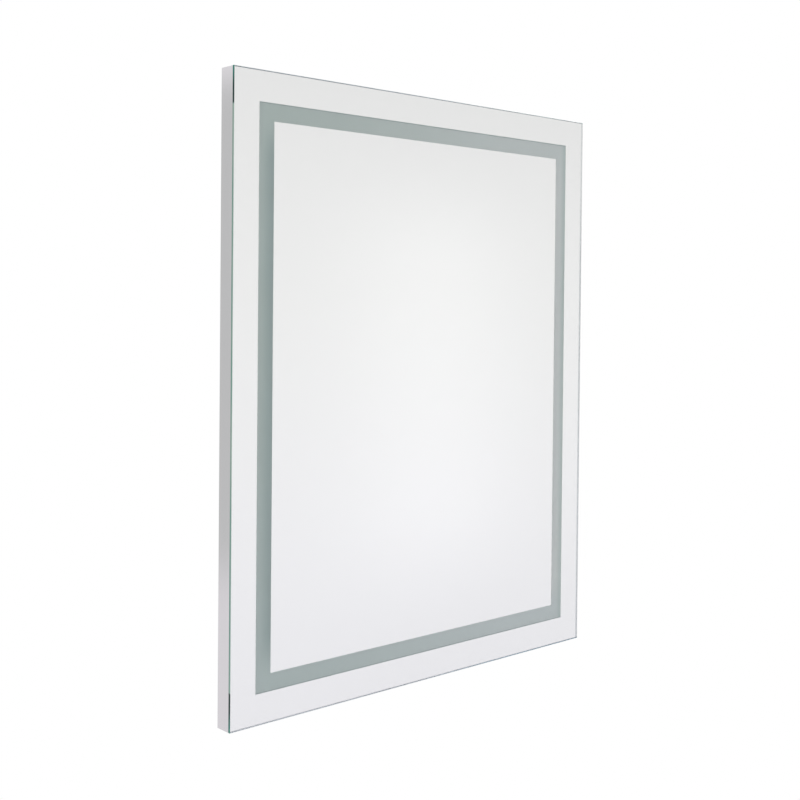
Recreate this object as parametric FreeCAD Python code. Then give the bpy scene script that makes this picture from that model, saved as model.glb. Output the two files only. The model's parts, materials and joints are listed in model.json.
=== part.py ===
import FreeCAD, Part
import math
import os
from FreeCAD import Placement, Rotation, Vector

# A wall-hung lighted bathroom mirror, in millimetres: a silvered pane with a frosted band near its edge, on a
# shallow mitred aluminium casing that holds the light strips and the driver, hung on a bar fixed to the wall.
# X runs to the right as seen from the front, Y into the wall and Z up. The origin is on the wall, midway
# along the wall bar's row of screw holes.

# ---------------------------------------------------------------- driving dimensions: the whole
WIDTH = 810.0  # across the pane
HEIGHT = 1000.0  # up the pane
DEPTH = 34.0  # from the wall to the front of the pane
HANG_DROP = 170.0  # from the top edge down to the wall bar's screw holes
WALL_GAP = 0.8  # kept between the casing's rear edge and the wall by the bumpers

# ---------------------------------------------------------------- the pane and its coating
PANE = 4.0
ARRIS = 0.5  # ground bevel along the pane's edges
MARGIN = 48.0  # silvered margin outside the frosted band
BAND = 28.0  # width of the frosted band
ETCH = 0.1  # depth that the band is etched into the pane's back
COATING = 0.15  # silver with its backing paint
COATING_FIT = 0.02  # between the pane and the film

# ---------------------------------------------------------------- the casing's extrusion
CASING_WALL = 1.6  # outer wall, the one that shows
CASING_LAND = 1.4  # front land that the pane is taped to
CASING_REAR = 1.4  # rear wall that the back panel screws to
CASING_WEB = 1.6  # inner web that carries the light strip
CASING_BOX = 16.0  # width of the hollow box, outer face to inner face
RECESS = 10.8  # from the wall to the back panel
TAPE = 1.0  # bonding tape between the land and the pane's coating
TAPE_INSET = 1.0  # of the tape from each edge of the land
LIP = 1.0  # ledges on the web that guide the light strip

# ---------------------------------------------------------------- corner keys
KEY_LEG = 45.0  # from the casing's corner to the end of a leg
KEY_FIT = 0.15  # between a key and the box around it
KEY_BARB = 0.8  # depth of the barbs
KEY_BARB_PITCH = 6.0
KEY_BARBS = 3
KEY_NOSE = 2.0  # chamfer at a leg's end

# ---------------------------------------------------------------- back panel
PANEL = 1.0
PANEL_FIT = 0.5  # between the panel's edge and the casing's outer wall
SWAGE_WIDTH = 24.0
SWAGE_SLOPE = 4.0  # width of a swage's sloping side
SWAGE_DEPTH = 2.0
SWAGE_X = 200.0  # of the upright swages, from the middle
SWAGE_GAP = 40.0  # from the vents down to the upright swages
SWAGE_FOOT = 140.0  # from the bottom edge up to the upright swages
CROSS_SWAGE_INSET = 50.0  # of the level swages, from the top and bottom edges
CROSS_SWAGE_LENGTH = 520.0
VENT_LENGTH = 30.0
VENT_WIDTH = 4.0
VENT_PITCH = 12.0
VENTS = 6
VENT_GAP = 18.0  # below the driver

# ---------------------------------------------------------------- light strips
STRIP_WIDTH = 10.0
STRIP = 0.4
STRIP_FIT = 0.3  # to the ledges at each side
STRIP_END = 26.0  # from the casing's corner to the end of a strip
CHIP_LENGTH = 3.5
CHIP_WIDTH = 2.8
CHIP = 0.8
CHIP_PITCH = 1000.0 / 30
PAD = 12.0  # bare length at each end of a strip, for its joint
LINK_WIDTH = 4.0
LINK = 0.8
LINK_LAP = 5.0  # of a link on the pads
LINK_BEND = 10.0

# ---------------------------------------------------------------- reflectors beside the frosted band
SHEET = 0.8  # sheet that the reflectors and the terminal tray are folded from
REFLECTOR_GAP = 6.0  # from the band's inner edge to the reflector
REFLECTOR_FOOT = 12.0
REFLECTOR_CLEAR = 0.5  # between the reflector and the coating

# ---------------------------------------------------------------- hanging bars
BAR = 2.0  # thickness of both bars
WALL_BAR_LENGTH = 600.0
WALL_BAR_FLANGE = 11.0  # above and below the screw holes
UPSTAND_TOP = 28.0
BAR_PLAY = 0.7  # between the hook and the upstand
HOOK_WALL_GAP = 1.6  # between the hook and the wall
HOOK_FLOOR_GAP = 1.5  # between the hook's tip and the wall bar's shelf
HANGER_LENGTH = 560.0
HANGER_FLANGE = 22.0
WALL_HOLE_R = 2.75
WALL_HOLE_X = 80.0  # of the round holes, from the middle
WALL_SLOT_X = 240.0
WALL_SLOT = 12.0
HANGER_RIVET_X = (-220.0, 0.0, 220.0)

# ---------------------------------------------------------------- terminal tray, cover and block
TRAY_X = 0.0
TRAY_Z = -90.0
TRAY_WIDTH = 90.0  # inside
TRAY_HEIGHT = 64.0  # inside
TRAY_LEDGE = 9.0  # flange that shows in the panel's opening, for the cover to sit on
TRAY_LAP = 8.0  # flange welded behind the panel's edge
TRAY_CLEAR = 1.5  # between the tray's floor and the coating
COVER_FIT = 0.5  # between the cover's edge and the panel's opening
GROMMET_BORE_R = 4.5
GROMMET_NECK_R = 6.5
GROMMET_FLANGE_R = 8.5
GROMMET_FLANGE = 2.1
GROMMET_FIT = 0.1
GROMMET_X = 27.0
GROMMET_Z = -104.0
BLOCK_X = -22.0
BLOCK_Z = -98.0
BLOCK_WIDTH = 32.0
BLOCK_HEIGHT = 20.0
BLOCK_DEPTH = 14.0
BLOCK_WAYS = 3
BLOCK_PORT = 4.5  # square mouth of one way
BLOCK_PORT_DEPTH = 8.0
STUD_R = 2.0  # earth stud
STUD = 10.0
STUD_GAP = 18.0  # from the terminal block up to the stud
BRAID_STEP_FOOT = 3.0  # from the block up to where the earth braid starts down to the tray's floor
BRAID_STEP_TOP = 8.0
NUT_ACROSS = 7.0
NUT = 3.2

# ---------------------------------------------------------------- driver
DRIVER_LENGTH = 138.0
DRIVER_HEIGHT = 44.0
DRIVER_DEPTH = 15.0
DRIVER_ROUND = 2.5
DRIVER_GAP = 12.0  # from the tray's flange to the driver
DRIVER_TAPE = 1.0
DRIVER_TAPE_LENGTH = 30.0
DRIVER_TAPE_INSET = 10.0
CAP = 6.0
CAP_BEVEL = 2.0

# ---------------------------------------------------------------- leads
LEAD_Z = -70.0
SUPPLY_ACROSS = 3.2  # flat twin mains lead
SUPPLY_DEEP = 5.4
OUTPUT_ACROSS = 2.2  # flat twin low-voltage lead
OUTPUT_DEEP = 4.6
EARTH_ACROSS = 1.2  # flat earth braid
EARTH_DEEP = 8.0
LEAD_BEND = 25.0
LEAD_FIT = 0.1
OUTPUT_INSET = 110.0  # from the right edge to the upright run
FEED_DROP = 500.0  # from the top edge down to where the driver feeds the strips
BUSH = 1.2  # of a bush's flanges, and of its wall round the lead
BUSH_FLANGE = 1.2  # that a flange stands out beyond the neck
CLIP_WIDTH = 8.0
CLIP_WALL = 1.2
CLIP_FOOT = 5.0
CLIP_DROPS = (80.0, 170.0)  # below the driver's lead

# ---------------------------------------------------------------- fasteners, spacers and bumpers
HOLE_FIT = 0.05  # of a hole around the shank in it
SCREW_R = 2.0
SCREW_HEAD_R = 3.8
SCREW_HEAD = 2.2
SCREW_LENGTH = 8.0
COVER_SCREW_R = 1.5
COVER_SCREW_HEAD_R = 2.9
COVER_SCREW_HEAD = 1.8
RIVET_R = 2.0
RIVET_HEAD_R = 4.0
RIVET_HEAD = 1.2
RIVET_TAIL = 3.0
SCREW_CORNER = 75.0  # from a corner to the first panel screw
UPRIGHT_SCREWS = 3  # panel screws along each upright side
LEVEL_SCREWS = 1
BUMPER_R = 9.0
BUMPER_X = 330.0
BUMPER_RISE = 40.0  # from the bottom edge
PAD_SIZE = 40.0  # foam spacers
PAD_X = 100.0
PAD_DROPS = (480.0, 740.0)  # below the top edge

# ---------------------------------------------------------------- planes and outlines worked out from them
TOP_Z = HANG_DROP
BOTTOM_Z = HANG_DROP - HEIGHT
FRONT_Y = -DEPTH
PANE_BACK_Y = FRONT_Y + PANE
COATING_FRONT_Y = PANE_BACK_Y + COATING_FIT
COATING_BACK_Y = COATING_FRONT_Y + COATING
LAND_Y = COATING_BACK_Y + TAPE
PANEL_BACK_Y = -RECESS
PANEL_FRONT_Y = PANEL_BACK_Y - PANEL
CHAMBER_FRONT_Y = LAND_Y + CASING_LAND
CHAMBER_BACK_Y = PANEL_FRONT_Y - CASING_REAR
STRIP_Y = (LAND_Y + PANEL_FRONT_Y) / 2  # the strips and leads run in this plane
SCREW_INSET = (CASING_WALL + CASING_BOX - CASING_WEB) / 2
REFLECTOR_INSET = MARGIN + BAND + REFLECTOR_GAP
STRIP_FACE = CASING_BOX + STRIP
HOOK_BACK_Y = -HOOK_WALL_GAP
HOOK_FRONT_Y = HOOK_BACK_Y - BAR
UPSTAND_BACK_Y = HOOK_FRONT_Y - BAR_PLAY
UPSTAND_FRONT_Y = UPSTAND_BACK_Y - BAR
SHELF_TOP = WALL_BAR_FLANGE + BAR
HOOK_TIP = SHELF_TOP + HOOK_FLOOR_GAP
HANGER_Z = UPSTAND_TOP + BAR + HANGER_FLANGE / 2
TRAY_LEFT = TRAY_X - TRAY_WIDTH / 2
TRAY_RIGHT = TRAY_X + TRAY_WIDTH / 2
TRAY_FLOOR_Y = COATING_BACK_Y + TRAY_CLEAR + SHEET
BLOCK_TOP = BLOCK_Z + BLOCK_HEIGHT / 2
BLOCK_WAY_PITCH = BLOCK_WIDTH / BLOCK_WAYS
DRIVER_X = TRAY_RIGHT + TRAY_LEDGE + TRAY_LAP + DRIVER_GAP + CAP
DRIVER_END_X = DRIVER_X + DRIVER_LENGTH
DRIVER_BACK_Y = PANEL_FRONT_Y - DRIVER_TAPE
VENT_TOP = LEAD_Z - DRIVER_HEIGHT / 2 - VENT_GAP
SWAGE_TOP = VENT_TOP - VENT_LENGTH - SWAGE_GAP
OUTPUT_X = WIDTH / 2 - OUTPUT_INSET
BACKWARD = Vector(0, 1, 0)

# For each side of the frame: the way in from its outer edge, the way along it, its first corner, its length.
SIDES = {
    "top": (Vector(0, 0, -1), Vector(1, 0, 0), Vector(-WIDTH / 2, 0, TOP_Z), WIDTH),
    "bottom": (Vector(0, 0, 1), Vector(1, 0, 0), Vector(-WIDTH / 2, 0, BOTTOM_Z), WIDTH),
    "left": (Vector(1, 0, 0), Vector(0, 0, 1), Vector(-WIDTH / 2, 0, BOTTOM_Z), HEIGHT),
    "right": (Vector(-1, 0, 0), Vector(0, 0, 1), Vector(WIDTH / 2, 0, BOTTOM_Z), HEIGHT),
}
# For each corner: its sign along X and Z.
CORNERS = {"top_left": (-1, 1), "top_right": (1, 1), "bottom_left": (-1, -1), "bottom_right": (1, -1)}


# ---------------------------------------------------------------- shapes used more than once
def block(x0, x1, y0, y1, z0, z1):
    """A rectangular solid between three pairs of planes."""
    return Part.makeBox(x1 - x0, y1 - y0, z1 - z0, Vector(x0, y0, z0))


def prism(points, sweep):
    """A closed outline of corner points, carried along a vector."""
    return Part.Face(Part.makePolygon(points + points[:1])).extrude(sweep)


def rod(x, z, radius, y0, y1):
    """A round bar, or the tool for a round hole, along Y."""
    return Part.makeCylinder(radius, y1 - y0, Vector(x, y0, z), BACKWARD)


def turned(profile, foot, axis):
    """A solid turned about the line through foot along axis, from (radius, distance along axis) points."""
    points = [Vector(radius, 0, along) for radius, along in profile]
    face = Part.Face(Part.makePolygon(points + points[:1]))
    solid = face.revolve(Vector(0, 0, 0), Vector(0, 0, 1), 360)
    solid.Placement = Placement(foot, Rotation(Vector(0, 0, 1), axis))
    return solid


def slab(inset, y0, y1):
    """A plate that stands back from the pane's edges by inset."""
    return block(-WIDTH / 2 + inset, WIDTH / 2 - inset, y0, y1, BOTTOM_Z + inset, TOP_Z - inset)


def on_side(side, along, inset, y):
    """The point this far along a side of the frame, in from its outer edge, at depth y."""
    inward, run, start, _ = SIDES[side]
    return start + run * along + inward * inset + Vector(0, y, 0)


def side_block(side, along, inset, y):
    """A rectangular solid on a side of the frame; each argument is a (from, to) pair."""
    corners = [(along[0], inset[0]), (along[1], inset[0]), (along[1], inset[1]), (along[0], inset[1])]
    return prism([on_side(side, a, i, y[0]) for a, i in corners], Vector(0, y[1] - y[0], 0))


def mitred(side, outline):
    """A straight section of (inset, y) points along one side of the frame, mitred at both ends."""
    _, run, _, length = SIDES[side]
    section = prism([on_side(side, 0, inset, y) for inset, y in outline], run * length)
    reach = max(inset for inset, _ in outline) + 1
    front = min(y for _, y in outline) - 1
    back = max(y for _, y in outline) + 1
    corners = [(-1, -1), (length + 1, -1), (length - reach, reach), (reach, reach)]
    mitre = prism([on_side(side, a, i, front) for a, i in corners], Vector(0, back - front, 0))
    return section.common(mitre).Solids[0]


def headed(x, z, seat_y, radius, head_r, head, length):
    """A screw or rivet put in from behind, its plain round head seated at seat_y."""
    profile = [(0, head), (head_r, head), (head_r, 0), (radius, 0), (radius, -length), (0, -length)]
    return turned(profile, Vector(x, seat_y, z), BACKWARD)


def lead(points, across, deep):
    """A flat lead, bent over its flat side: straight runs joined by arcs as wide as the runs allow."""
    edges = []
    here = points[0]
    for before, corner, after in zip(points, points[1:], points[2:]):
        back = before - corner
        onward = after - corner
        shorter = min(back.Length, onward.Length)
        back.normalize()
        onward.normalize()
        half = back.getAngle(onward) / 2
        bend = min(LEAD_BEND, 0.45 * shorter * math.tan(half))
        start = corner + back * (bend / math.tan(half))
        end = corner + onward * (bend / math.tan(half))
        middle = corner + (back + onward).normalize() * (bend / math.sin(half) - bend)
        edges.append(Part.LineSegment(here, start).toShape())
        edges.append(Part.Arc(start, middle, end).toShape())
        here = end
    edges.append(Part.LineSegment(here, points[-1]).toShape())
    path = Part.Wire(edges)
    way = (points[1] - points[0]).normalize()
    edgewise = way.cross(points[2] - points[1]).normalize()
    flatwise = way.cross(edgewise)
    corners = [(-1, -1), (1, -1), (1, 1), (-1, 1)]
    mouth = [points[0] + flatwise * (i * across / 2) + edgewise * (j * deep / 2) for i, j in corners]
    tube = path.makePipeShell([Part.makePolygon(mouth + mouth[:1])], True, False)
    swept = across * deep * path.Length
    print(f"lead of {path.Length:.1f} mm, its volume {tube.Volume / swept:.4f} of section times length")
    return tube


nodes = {}


def add(name, *solids):
    """Names a sub-part: one solid, or a group of alike ones."""
    nodes[name] = solids


# ---------------------------------------------------------------- hanging bars
def wall_bar():
    """The Z-shaped bar on the wall: a screwed flange, a shelf, and the upstand that the mirror hooks over."""
    section = [
        (0, -WALL_BAR_FLANGE),
        (0, SHELF_TOP),
        (UPSTAND_BACK_Y, SHELF_TOP),
        (UPSTAND_BACK_Y, UPSTAND_TOP),
        (UPSTAND_FRONT_Y, UPSTAND_TOP),
        (UPSTAND_FRONT_Y, WALL_BAR_FLANGE),
        (-BAR, WALL_BAR_FLANGE),
        (-BAR, -WALL_BAR_FLANGE),
    ]
    half = WALL_BAR_LENGTH / 2
    bar = prism([Vector(-half, y, z) for y, z in section], Vector(WALL_BAR_LENGTH, 0, 0))
    for sign in (-1, 1):
        bar = bar.cut(rod(sign * WALL_HOLE_X, 0, WALL_HOLE_R, -BAR - 1, 1))
        run = WALL_SLOT / 2 - WALL_HOLE_R
        middle = sign * WALL_SLOT_X
        slot = block(middle - run, middle + run, -BAR - 1, 1, -WALL_HOLE_R, WALL_HOLE_R)
        for end in (middle - run, middle + run):
            slot = slot.fuse(rod(end, 0, WALL_HOLE_R, -BAR - 1, 1))
        bar = bar.cut(slot.removeSplitter())
    return bar.Solids[0]


def hanging_bar():
    """The matching bar riveted to the panel: its hook drops behind the wall bar's upstand."""
    web = UPSTAND_TOP
    top = web + BAR + HANGER_FLANGE
    section = [
        (PANEL_BACK_Y, web),
        (PANEL_BACK_Y, top),
        (PANEL_BACK_Y + BAR, top),
        (PANEL_BACK_Y + BAR, web + BAR),
        (HOOK_BACK_Y, web + BAR),
        (HOOK_BACK_Y, HOOK_TIP),
        (HOOK_FRONT_Y, HOOK_TIP),
        (HOOK_FRONT_Y, web),
    ]
    half = HANGER_LENGTH / 2
    bar = prism([Vector(-half, y, z) for y, z in section], Vector(HANGER_LENGTH, 0, 0))
    for x in HANGER_RIVET_X:
        bar = bar.cut(rod(x, HANGER_Z, RIVET_R + HOLE_FIT, PANEL_BACK_Y - 1, PANEL_BACK_Y + BAR + 1))
    return bar.Solids[0]


def hanging_rivet(x):
    """A rivet, headed behind the bar, through bar and panel."""
    length = BAR + PANEL + RIVET_TAIL
    return headed(x, HANGER_Z, PANEL_BACK_Y + BAR, RIVET_R, RIVET_HEAD_R, RIVET_HEAD, length)


add("wall_bar", wall_bar())
add("hanging_bar", hanging_bar())
add("hanging_rivets", *[hanging_rivet(x) for x in HANGER_RIVET_X])


# ---------------------------------------------------------------- pane and coating
def pane():
    """The pane, with ground arrises all round and the frosted band etched into its back."""
    plate = slab(0, FRONT_Y, PANE_BACK_Y)
    rims = [e for e in plate.Edges if e.BoundBox.YLength < ARRIS]
    plate = plate.makeChamfer(ARRIS, rims)
    etched = slab(MARGIN, PANE_BACK_Y - ETCH, PANE_BACK_Y + 1)
    etched = etched.cut(slab(MARGIN + BAND, PANE_BACK_Y - ETCH - 1, PANE_BACK_Y + 2))
    return plate.cut(etched).Solids[0]


add("mirror_glass", pane())
margin = slab(ARRIS, COATING_FRONT_Y, COATING_BACK_Y)
add("silvering_border", margin.cut(slab(MARGIN, COATING_FRONT_Y - 1, COATING_BACK_Y + 1)).Solids[0])
add("silvering_centre", slab(MARGIN + BAND, COATING_FRONT_Y, COATING_BACK_Y))


# ---------------------------------------------------------------- casing
def screw_places():
    """The places of the panel screws as (side, distance along it), evenly spaced between the corners."""
    places = []
    for side, (_, _, _, length) in SIDES.items():
        count = LEVEL_SCREWS if side in ("top", "bottom") else UPRIGHT_SCREWS
        step = (length - 2 * SCREW_CORNER) / max(count - 1, 1)
        places += [(side, length / 2 + (n - (count - 1) / 2) * step) for n in range(count)]
    return places


def casing_rail(side):
    """One rail of the casing: outer wall with rear skirt, taped land, strip web and open screw channel."""
    ledge = STRIP_WIDTH / 2 + STRIP_FIT
    slot = SCREW_R + HOLE_FIT
    web = CASING_BOX - CASING_WEB
    outline = [
        (0, -WALL_GAP),
        (0, COATING_BACK_Y),
        (CASING_WALL, COATING_BACK_Y),
        (CASING_WALL, LAND_Y),
        (CASING_BOX, LAND_Y),
        (CASING_BOX, STRIP_Y - ledge - LIP),
        (CASING_BOX + LIP, STRIP_Y - ledge - LIP),
        (CASING_BOX + LIP, STRIP_Y - ledge),
        (CASING_BOX, STRIP_Y - ledge),
        (CASING_BOX, STRIP_Y + ledge),
        (CASING_BOX + LIP, STRIP_Y + ledge),
        (CASING_BOX + LIP, STRIP_Y + ledge + LIP),
        (CASING_BOX, STRIP_Y + ledge + LIP),
        (CASING_BOX, PANEL_FRONT_Y),
        (SCREW_INSET + slot, PANEL_FRONT_Y),
        (SCREW_INSET + slot, CHAMBER_BACK_Y),
        (web, CHAMBER_BACK_Y),
        (web, CHAMBER_FRONT_Y),
        (CASING_WALL, CHAMBER_FRONT_Y),
        (CASING_WALL, CHAMBER_BACK_Y),
        (SCREW_INSET - slot, CHAMBER_BACK_Y),
        (SCREW_INSET - slot, PANEL_FRONT_Y),
        (CASING_WALL, PANEL_FRONT_Y),
        (CASING_WALL, -WALL_GAP),
    ]
    return mitred(side, outline)


def corner_key(corner):
    """An L-shaped key that fills the two chambers at a corner, with barbs that bite the web."""
    outer = CASING_WALL + KEY_FIT
    inner = CASING_BOX - CASING_WEB - KEY_FIT
    root = KEY_LEG - KEY_NOSE - KEY_BARBS * KEY_BARB_PITCH
    leg = [(inner, inner), (root, inner)]
    for n in range(KEY_BARBS):
        start = root + n * KEY_BARB_PITCH
        leg += [(start, inner - KEY_BARB), (start + KEY_BARB_PITCH, inner)]
    leg += [(KEY_LEG, inner - KEY_NOSE), (KEY_LEG, outer + KEY_NOSE), (KEY_LEG - KEY_NOSE, outer)]
    outline = [(outer, outer)] + [(b, a) for a, b in reversed(leg)][:-1] + leg
    sign_x, sign_z = CORNERS[corner]
    front = CHAMBER_FRONT_Y + KEY_FIT
    middle_z = (TOP_Z + BOTTOM_Z) / 2
    points = [
        Vector(sign_x * (WIDTH / 2 - a), front, middle_z + sign_z * (HEIGHT / 2 - b)) for a, b in outline
    ]
    return prism(points, Vector(0, CHAMBER_BACK_Y - KEY_FIT - front, 0))


def tape_strip(side):
    """Foam tape on a rail's land; the upright strips run between the level ones."""
    inset = (CASING_WALL + TAPE_INSET, CASING_BOX - TAPE_INSET)
    end = inset[0] if side in ("top", "bottom") else inset[1]
    length = SIDES[side][3]
    return side_block(side, (end, length - end), inset, (COATING_BACK_Y, LAND_Y))


for side in SIDES:
    add(f"casing_{side}", casing_rail(side))
for corner in CORNERS:
    add(f"corner_key_{corner}", corner_key(corner))
add("bonding_tape", *[tape_strip(side) for side in SIDES])


# ---------------------------------------------------------------- light strips and their links
def chip_places(side):
    """The middles of the light chips, evenly spaced along a strip and centred on it."""
    length = SIDES[side][3]
    room = length - 2 * (STRIP_END + PAD) - CHIP_LENGTH
    count = int(room / CHIP_PITCH) + 1
    first = (length - (count - 1) * CHIP_PITCH) / 2
    return [first + n * CHIP_PITCH for n in range(count)]


def led_strip(side):
    """A flexible light strip along a rail's web, with its chips."""
    length = SIDES[side][3]
    half = STRIP_WIDTH / 2
    base = side_block(
        side, (STRIP_END, length - STRIP_END), (CASING_BOX, STRIP_FACE), (STRIP_Y - half, STRIP_Y + half)
    )
    chips = [
        side_block(
            side,
            (middle - CHIP_LENGTH / 2, middle + CHIP_LENGTH / 2),
            (STRIP_FACE, STRIP_FACE + CHIP),
            (STRIP_Y - CHIP_WIDTH / 2, STRIP_Y + CHIP_WIDTH / 2),
        )
        for middle in chip_places(side)
    ]
    return base.multiFuse(chips).Solids[0]


def strip_link(corner):
    """A flat two-core link soldered to the pads of two strips and bent round the corner between them."""
    sign_x, sign_z = CORNERS[corner]
    middle_z = (TOP_Z + BOTTOM_Z) / 2
    y = STRIP_Y - LINK_WIDTH / 2

    def at(a, b):
        return Vector(sign_x * (WIDTH / 2 - a), y, middle_z + sign_z * (HEIGHT / 2 - b))

    near = STRIP_FACE
    far = near + LINK
    centre = near + LINK_BEND
    end = STRIP_END + LINK_LAP
    shift = math.sqrt(0.5)
    outside = centre - shift * LINK_BEND
    inside = centre - shift * (LINK_BEND - LINK)
    edges = [
        Part.LineSegment(at(end, near), at(centre, near)),
        Part.Arc(at(centre, near), at(outside, outside), at(near, centre)),
        Part.LineSegment(at(near, centre), at(near, end)),
        Part.LineSegment(at(near, end), at(far, end)),
        Part.LineSegment(at(far, end), at(far, centre)),
        Part.Arc(at(far, centre), at(inside, inside), at(centre, far)),
        Part.LineSegment(at(centre, far), at(end, far)),
        Part.LineSegment(at(end, far), at(end, near)),
    ]
    outline = Part.Wire([edge.toShape() for edge in edges])
    return Part.Face(outline).extrude(Vector(0, LINK_WIDTH, 0))


for side in SIDES:
    add(f"led_strip_{side}", led_strip(side))
add("strip_links", *[strip_link(corner) for corner in CORNERS if corner != "bottom_left"])


# ---------------------------------------------------------------- feed point and reflectors
feeds = [a + CHIP_PITCH / 2 for a in chip_places("right")[:-1]]
FEED_Z = min((BOTTOM_Z + a for a in feeds), key=lambda z: abs(z - (TOP_Z - FEED_DROP)))


def sheet_slot(x, z, across, deep, grow):
    """The rectangular hole or neck round a level lead where it passes the sheet whose left face is at x."""
    up = across / 2 + LEAD_FIT + BUSH + grow
    out = deep / 2 + LEAD_FIT + BUSH + grow
    return block(x, x + SHEET, STRIP_Y - out, STRIP_Y + out, z - up, z + up)


def bush(x, z, across, deep):
    """A rubber bush that lines a lead's slot in sheet: a neck between two flanges."""
    neck = sheet_slot(x, z, across, deep, 0)
    rim = sheet_slot(x, z, across, deep, BUSH_FLANGE).BoundBox
    flanges = [block(x0, x0 + BUSH, rim.YMin, rim.YMax, rim.ZMin, rim.ZMax) for x0 in (x - BUSH, x + SHEET)]
    up = across / 2 + LEAD_FIT
    out = deep / 2 + LEAD_FIT
    bore = block(x - BUSH - 1, x + SHEET + BUSH + 1, STRIP_Y - out, STRIP_Y + out, z - up, z + up)
    return neck.multiFuse(flanges).cut(bore).removeSplitter().Solids[0]


def reflector(side):
    """A folded white angle that turns the strips' light forward through the frosted band."""
    foot_front = PANEL_FRONT_Y - SHEET
    outline = [
        (REFLECTOR_INSET, PANEL_FRONT_Y),
        (REFLECTOR_INSET, COATING_BACK_Y + REFLECTOR_CLEAR),
        (REFLECTOR_INSET + SHEET, COATING_BACK_Y + REFLECTOR_CLEAR),
        (REFLECTOR_INSET + SHEET, foot_front),
        (REFLECTOR_INSET + REFLECTOR_FOOT, foot_front),
        (REFLECTOR_INSET + REFLECTOR_FOOT, PANEL_FRONT_Y),
    ]
    angle = mitred(side, outline)
    if side == "right":
        angle = angle.cut(sheet_slot(REFLECTOR_LEFT, FEED_Z, OUTPUT_ACROSS, OUTPUT_DEEP, HOLE_FIT))
    return angle.Solids[0]


REFLECTOR_LEFT = WIDTH / 2 - REFLECTOR_INSET - SHEET
for side in SIDES:
    add(f"reflector_{side}", reflector(side))


# ---------------------------------------------------------------- terminal tray, cover and block
def tray_box(grow, y0, y1):
    """The tray's inside, grown by grow each way."""
    half_x = TRAY_WIDTH / 2 + grow
    half_z = TRAY_HEIGHT / 2 + grow
    return block(TRAY_X - half_x, TRAY_X + half_x, y0, y1, TRAY_Z - half_z, TRAY_Z + half_z)


COVER_SCREWS = [TRAY_X + sign * (TRAY_WIDTH + TRAY_LEDGE) / 2 for sign in (-1, 1)]


def terminal_tray():
    """The folded tray that shuts the mains terminals off from the light channel."""
    tray = tray_box(SHEET, TRAY_FLOOR_Y - SHEET, PANEL_FRONT_Y)
    tray = tray.fuse(tray_box(TRAY_LEDGE + TRAY_LAP, PANEL_FRONT_Y - SHEET, PANEL_FRONT_Y))
    tray = tray.cut(tray_box(0, TRAY_FLOOR_Y, PANEL_FRONT_Y + 1))
    hole_r = COVER_SCREW_R + HOLE_FIT
    for x in COVER_SCREWS:
        tray = tray.cut(rod(x, TRAY_Z, hole_r, PANEL_FRONT_Y - SHEET - 1, PANEL_FRONT_Y + 1))
    tray = tray.cut(sheet_slot(TRAY_RIGHT, LEAD_Z, SUPPLY_ACROSS, SUPPLY_DEEP, HOLE_FIT))
    return tray.removeSplitter().Solids[0]


def terminal_cover():
    """The cover plate, let into the panel's opening on the tray's ledge, with the cable grommet's hole."""
    cover = tray_box(TRAY_LEDGE - COVER_FIT, PANEL_FRONT_Y, PANEL_BACK_Y)
    for x in COVER_SCREWS:
        cover = cover.cut(rod(x, TRAY_Z, COVER_SCREW_R + HOLE_FIT, PANEL_FRONT_Y - 1, PANEL_BACK_Y + 1))
    hole = rod(GROMMET_X, GROMMET_Z, GROMMET_NECK_R + GROMMET_FIT, PANEL_FRONT_Y - 1, PANEL_BACK_Y + 1)
    return cover.cut(hole).Solids[0]


def cover_screw(x):
    """A screw through the cover into the tray's ledge."""
    length = PANEL + 2 * SHEET
    return headed(x, TRAY_Z, PANEL_BACK_Y, COVER_SCREW_R, COVER_SCREW_HEAD_R, COVER_SCREW_HEAD, length)


def cable_grommet():
    """The rubber grommet in the cover that the supply cable comes through."""
    profile = [
        (GROMMET_BORE_R, -GROMMET_FLANGE),
        (GROMMET_FLANGE_R, -GROMMET_FLANGE),
        (GROMMET_FLANGE_R, 0),
        (GROMMET_NECK_R, 0),
        (GROMMET_NECK_R, PANEL),
        (GROMMET_FLANGE_R, PANEL),
        (GROMMET_FLANGE_R, PANEL + GROMMET_FLANGE),
        (GROMMET_BORE_R, PANEL + GROMMET_FLANGE),
    ]
    return turned(profile, Vector(GROMMET_X, PANEL_FRONT_Y, GROMMET_Z), BACKWARD)


def terminal_block():
    """A push-in terminal block on the tray's floor, with a square mouth and a release slot for each way."""
    left = BLOCK_X - BLOCK_WIDTH / 2
    bottom = BLOCK_Z - BLOCK_HEIGHT / 2
    back = TRAY_FLOOR_Y + BLOCK_DEPTH
    body = block(left, left + BLOCK_WIDTH, TRAY_FLOOR_Y, back, bottom, bottom + BLOCK_HEIGHT)
    half = BLOCK_PORT / 2
    mouth_y = TRAY_FLOOR_Y + BLOCK_DEPTH / 2
    mouth_top = bottom + BLOCK_PORT_DEPTH
    for n in range(BLOCK_WAYS):
        x = left + (n + 0.5) * BLOCK_WAY_PITCH
        body = body.cut(block(x - half, x + half, mouth_y - half, mouth_y + half, bottom - 1, mouth_top))
        body = body.cut(block(x - half, x + half, back - half, back + 1, mouth_top, mouth_top + half))
    return body.Solids[0]


EARTH_WAY_X = BLOCK_X - BLOCK_WAY_PITCH
STUD_Z = BLOCK_TOP + STUD_GAP


def earth_nut():
    """The hexagon nut that clamps the earth braid on the tray's stud."""
    front = TRAY_FLOOR_Y + EARTH_ACROSS
    corner = NUT_ACROSS / math.sqrt(3)
    angles = [math.radians(60 * n) for n in range(6)]
    middle = Vector(EARTH_WAY_X, front, STUD_Z)
    points = [middle + Vector(corner * math.cos(t), 0, corner * math.sin(t)) for t in angles]
    nut = prism(points, Vector(0, NUT, 0))
    return nut.cut(rod(EARTH_WAY_X, STUD_Z, STUD_R + HOLE_FIT, front - 1, front + NUT + 1)).Solids[0]


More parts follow.
